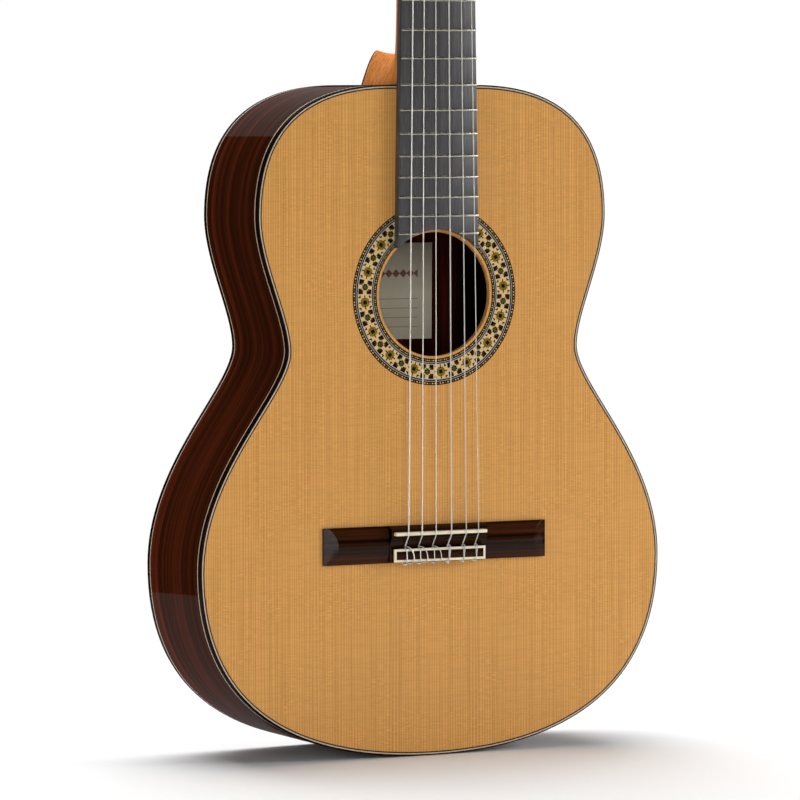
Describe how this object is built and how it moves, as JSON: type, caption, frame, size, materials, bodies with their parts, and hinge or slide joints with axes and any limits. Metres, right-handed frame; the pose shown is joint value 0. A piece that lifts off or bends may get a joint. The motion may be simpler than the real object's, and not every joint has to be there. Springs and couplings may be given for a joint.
{
  "type": "classical guitar",
  "caption": "Classical guitar with a cedar soundboard, rosewood body, slotted head, worm-geared rollers and nylon strings.",
  "frame": {"origin": "centre of the tail end of the body, halfway through its depth, where the guitar rests upright", "axes": "+Z from the tail up the neck to the head; -Y out of the soundboard; +X to the treble side"},
  "size_m": [0.375, 0.1155, 0.991],
  "materials": {
    "cedar": "satin",
    "rosette_inlay": "satin",
    "spruce": "raw",
    "rosewood": "gloss",
    "maple": "gloss",
    "neck_cedar": "satin",
    "binding": "gloss",
    "purfling": "satin",
    "label_paper": "matt paper",
    "ebony": "satin",
    "nickel": "polished",
    "bone": "satin",
    "bridge_rosewood": "gloss",
    "nylon_string": "clear gloss",
    "wound_string": "wound",
    "gilt_brass": "polished",
    "roller_white": "gloss",
    "button_pearl": "pearl"
  },
  "bodies": {
    "guitar": {"soundboard": "cedar", "rosette": "rosette_inlay", "soundhole_doubler": "cedar", "harmonic_bars": "spruce", "fan_braces": "spruce", "back_bass": "rosewood", "back_treble": "rosewood", "back_strip": "maple", "back_braces": "spruce", "rib_bass": "rosewood", "rib_treble": "rosewood", "end_block": "neck_cedar", "lining_front": "spruce", "lining_back": "spruce", "binding_front": "binding", "binding_back": "binding", "purfling_front": "purfling", "label": "label_paper", "neck": "neck_cedar", "heel_cap": "rosewood", "head": "neck_cedar", "head_veneer": "rosewood", "fingerboard": "ebony", "frets": "nickel", "nut": "bone", "bridge": "bridge_rosewood", "saddle": "bone", "tie_block_trim": "bone", "string_1": "nylon_string", "string_2": "nylon_string", "string_3": "nylon_string", "string_4": "wound_string", "string_5": "wound_string", "string_6": "wound_string", "tuner_plates": "gilt_brass", "plate_screws": "gilt_brass"},
    "roller_1": {"roller_1": "roller_white", "gear_1": "gilt_brass"},
    "key_1": {"worm_1": "gilt_brass", "button_1": "button_pearl"},
    "roller_2": {"roller_2": "roller_white", "gear_2": "gilt_brass"},
    "key_2": {"worm_2": "gilt_brass", "button_2": "button_pearl"},
    "roller_3": {"roller_3": "roller_white", "gear_3": "gilt_brass"},
    "key_3": {"worm_3": "gilt_brass", "button_3": "button_pearl"},
    "roller_4": {"roller_4": "roller_white", "gear_4": "gilt_brass"},
    "key_4": {"worm_4": "gilt_brass", "button_4": "button_pearl"},
    "roller_5": {"roller_5": "roller_white", "gear_5": "gilt_brass"},
    "key_5": {"worm_5": "gilt_brass", "button_5": "button_pearl"},
    "roller_6": {"roller_6": "roller_white", "gear_6": "gilt_brass"},
    "key_6": {"worm_6": "gilt_brass", "button_6": "button_pearl"}
  },
  "joints": [
    {"name": "roller_1_turn", "type": "hinge", "parent": "guitar", "child": "roller_1", "pos_m": [0.02, -0.0284, 0.86751], "axis": [1, 0, 0], "continuous": true},
    {"name": "key_1_turn", "type": "hinge", "parent": "guitar", "child": "key_1", "pos_m": [0.0414, -0.02639, 0.875], "axis": [0, 0.9659, -0.2588], "continuous": true},
    {"name": "roller_2_turn", "type": "hinge", "parent": "guitar", "child": "roller_2", "pos_m": [0.02, -0.01934, 0.90132], "axis": [1, 0, 0], "continuous": true},
    {"name": "key_2_turn", "type": "hinge", "parent": "guitar", "child": "key_2", "pos_m": [0.0414, -0.01733, 0.9088], "axis": [0, 0.9659, -0.2588], "continuous": true},
    {"name": "roller_3_turn", "type": "hinge", "parent": "guitar", "child": "roller_3", "pos_m": [0.02, -0.01028, 0.93512], "axis": [1, 0, 0], "continuous": true},
    {"name": "key_3_turn", "type": "hinge", "parent": "guitar", "child": "key_3", "pos_m": [0.0414, -0.00828, 0.94261], "axis": [0, 0.9659, -0.2588], "continuous": true},
    {"name": "roller_4_turn", "type": "hinge", "parent": "guitar", "child": "roller_4", "pos_m": [-0.02, -0.01028, 0.93512], "axis": [1, 0, 0], "continuous": true},
    {"name": "key_4_turn", "type": "hinge", "parent": "guitar", "child": "key_4", "pos_m": [-0.0414, -0.00828, 0.94261], "axis": [0, 0.9659, -0.2588], "continuous": true},
    {"name": "roller_5_turn", "type": "hinge", "parent": "guitar", "child": "roller_5", "pos_m": [-0.02, -0.01934, 0.90132], "axis": [1, 0, 0], "continuous": true},
    {"name": "key_5_turn", "type": "hinge", "parent": "guitar", "child": "key_5", "pos_m": [-0.0414, -0.01733, 0.9088], "axis": [0, 0.9659, -0.2588], "continuous": true},
    {"name": "roller_6_turn", "type": "hinge", "parent": "guitar", "child": "roller_6", "pos_m": [-0.02, -0.0284, 0.86751], "axis": [1, 0, 0], "continuous": true},
    {"name": "key_6_turn", "type": "hinge", "parent": "guitar", "child": "key_6", "pos_m": [-0.0414, -0.02639, 0.875], "axis": [0, 0.9659, -0.2588], "continuous": true}
  ],
  "couplings": [
    {"joint": "key_1_turn", "follows": "roller_1_turn", "ratio": 14},
    {"joint": "key_2_turn", "follows": "roller_2_turn", "ratio": 14},
    {"joint": "key_3_turn", "follows": "roller_3_turn", "ratio": 14},
    {"joint": "key_4_turn", "follows": "roller_4_turn", "ratio": 14},
    {"joint": "key_5_turn", "follows": "roller_5_turn", "ratio": 14},
    {"joint": "key_6_turn", "follows": "roller_6_turn", "ratio": 14}
  ]
}
